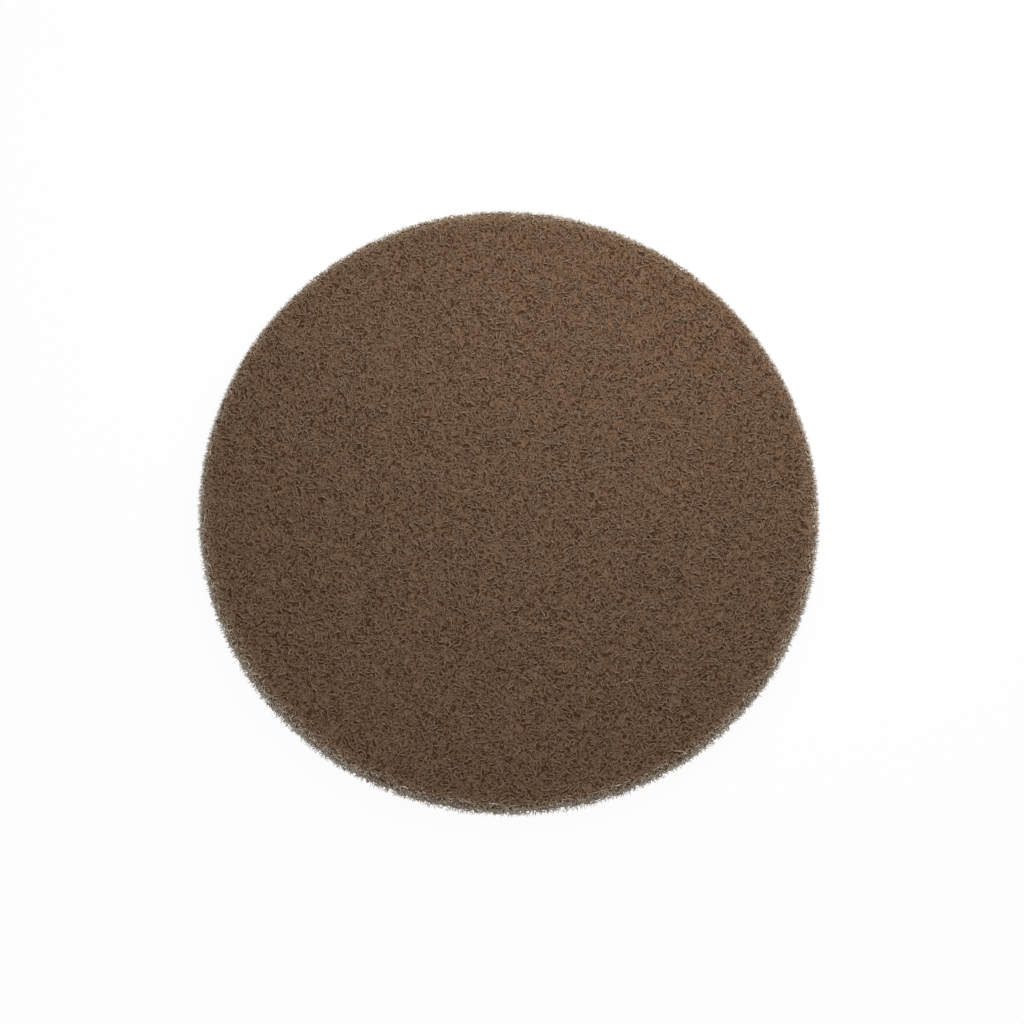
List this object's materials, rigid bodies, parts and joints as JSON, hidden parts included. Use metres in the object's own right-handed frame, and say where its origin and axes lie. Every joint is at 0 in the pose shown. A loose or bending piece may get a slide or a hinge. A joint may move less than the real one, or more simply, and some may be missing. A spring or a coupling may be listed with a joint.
{
  "type": "surface conditioning disc",
  "caption": "Round pad of springy brown non-woven fibre web, with a flat working face, a softly rolled rim and a flat back that grips a hooked backing pad.",
  "frame": {"origin": "on the disc's axis, in the plane of the flat back that the disc lies on", "axes": "+Z along the disc's axis, out of the working face; +X and +Y are any two square directions across the disc"},
  "size_m": [0.125, 0.125, 0.006],
  "materials": {
    "fibre_web": "matte, coarse mat of crimped fibres bonded with resin and grit"
  },
  "bodies": {
    "root": {"web_disc": "fibre_web"}
  },
  "joints": []
}
